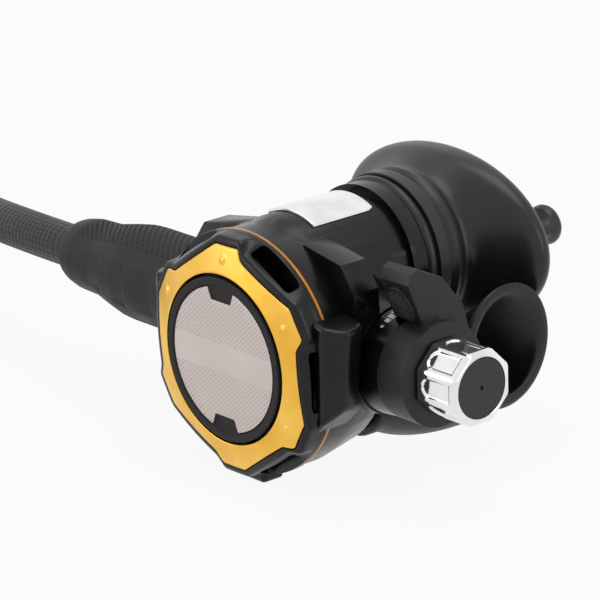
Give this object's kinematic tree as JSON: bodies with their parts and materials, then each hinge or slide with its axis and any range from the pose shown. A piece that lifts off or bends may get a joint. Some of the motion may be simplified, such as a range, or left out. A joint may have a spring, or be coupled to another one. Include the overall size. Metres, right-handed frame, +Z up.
{
  "type": "scuba regulator second stage with hose",
  "caption": "Scuba regulator second stage with purge button, mouthpiece, exhaust tee, adjusting knob, airflow lever and a coiled braided low-pressure hose.",
  "frame": {"origin": "middle of the flat foot under the front cover, in the plane where the cover, trim ring and case meet", "axes": "+X along the valve barrel towards the adjusting knob, +Y from the purge button towards the mouthpiece, +Z up"},
  "size_m": [0.3774, 0.162, 0.078],
  "materials": {
    "black_nylon": "moulded glass-filled nylon, semi-gloss black",
    "gold_aluminium": "satin gold-yellow anodised aluminium",
    "amber_ring": "moulded amber-yellow ring",
    "button_rubber": "moulded black elastomer",
    "steel_plate": "etched stainless steel, fine woven texture",
    "spring_steel": "drawn stainless spring wire",
    "clear_silicone": "translucent silicone",
    "white_acetal": "moulded white acetal",
    "plated_brass": "chrome-plated brass",
    "seal_rubber": "black nitrile seal",
    "chrome_plastic": "bright chrome plating on moulded ABS",
    "cap_black": "moulded black insert, satin",
    "lever_elastomer": "soft-touch charcoal elastomer",
    "vane_plastic": "moulded black acetal",
    "mouth_silicone": "dark silicone, satin",
    "tie_nylon": "black nylon tie",
    "tee_elastomer": "moulded black elastomer, satin",
    "sleeve_rubber": "moulded rubber with a knurl",
    "braided_nylon": "woven nylon braid over the hose"
  },
  "bodies": {
    "case": {"case": "black_nylon", "emblem_plate": "chrome_plastic", "front_cover": "black_nylon", "bezel_plate": "gold_aluminium", "trim_ring": "amber_ring", "purge_spring": "spring_steel", "diaphragm": "clear_silicone", "diaphragm_retainer": "white_acetal", "valve_barrel": "plated_brass", "orifice": "plated_brass", "orifice_oring": "seal_rubber", "inlet_oring": "seal_rubber", "poppet_spring": "spring_steel", "lever_saddle": "white_acetal", "lever_pin": "spring_steel", "barrel_collar": "black_nylon", "knob_clip": "spring_steel", "mouthpiece": "mouth_silicone", "mouthpiece_tie": "tie_nylon", "exhaust_valve": "clear_silicone", "exhaust_deflector": "tee_elastomer", "hose_nut": "plated_brass", "hose_ferrule": "plated_brass", "hose_sleeve": "sleeve_rubber", "hose": "braided_nylon", "hose_coil": "braided_nylon", "first_stage_ferrule": "plated_brass", "first_stage_fitting": "plated_brass", "first_stage_oring": "seal_rubber"},
    "purge": {"purge_button": "button_rubber", "purge_plate": "steel_plate"},
    "diaphragm_centre": {"diaphragm_disc": "white_acetal"},
    "demand": {"demand_lever": "spring_steel"},
    "poppet": {"poppet": "plated_brass", "poppet_seat": "seal_rubber"},
    "knob": {"knob_shell": "chrome_plastic", "knob_cap": "cap_black"},
    "screw": {"adjusting_screw": "plated_brass", "spring_pad": "white_acetal", "screw_oring": "seal_rubber"},
    "venturi": {"venturi_lever": "lever_elastomer", "thumb_pad": "lever_elastomer", "venturi_vane": "vane_plastic"}
  },
  "joints": [
    {"name": "purge_press", "type": "slide", "parent": "case", "child": "purge", "axis": [0, 1, 0], "range_m": [0, 0.003], "stiffness_N_per_m": 1500, "springref_m": -0.001, "deforming": ["purge_spring", "diaphragm"]},
    {"name": "diaphragm_travel", "type": "slide", "parent": "case", "child": "diaphragm_centre", "axis": [0, 1, 0], "range_m": [0, 0.0031]},
    {"name": "demand_lever_turn", "type": "hinge", "parent": "case", "child": "demand", "pos_m": [0.008, 0.014, 0.036], "axis": [0, 0, -1], "range_deg": [0, 10]},
    {"name": "poppet_travel", "type": "slide", "parent": "case", "child": "poppet", "axis": [1, 0, 0], "range_m": [0, 0.00105], "deforming": ["poppet_spring"]},
    {"name": "knob_turn", "type": "hinge", "parent": "case", "child": "knob", "pos_m": [0.0587, 0.023, 0.036], "axis": [1, 0, 0], "range_deg": [-360, 360]},
    {"name": "screw_travel", "type": "slide", "parent": "knob", "child": "screw", "axis": [-1, 0, 0], "range_m": [-0.001, 0.001]},
    {"name": "venturi_turn", "type": "hinge", "parent": "case", "child": "venturi", "pos_m": [0.0464, 0.023, 0.036], "axis": [1, 0, 0], "range_deg": [-30, 20]}
  ],
  "couplings": [
    {"joint": "diaphragm_travel", "follows": "purge_press", "ratio": 1},
    {"joint": "demand_lever_turn", "follows": "purge_press", "rad_per_m": 55.5},
    {"joint": "poppet_travel", "follows": "purge_press", "ratio": 0.333},
    {"joint": "knob_turn", "follows": "screw_travel", "rad_per_m": 6283.2}
  ]
}
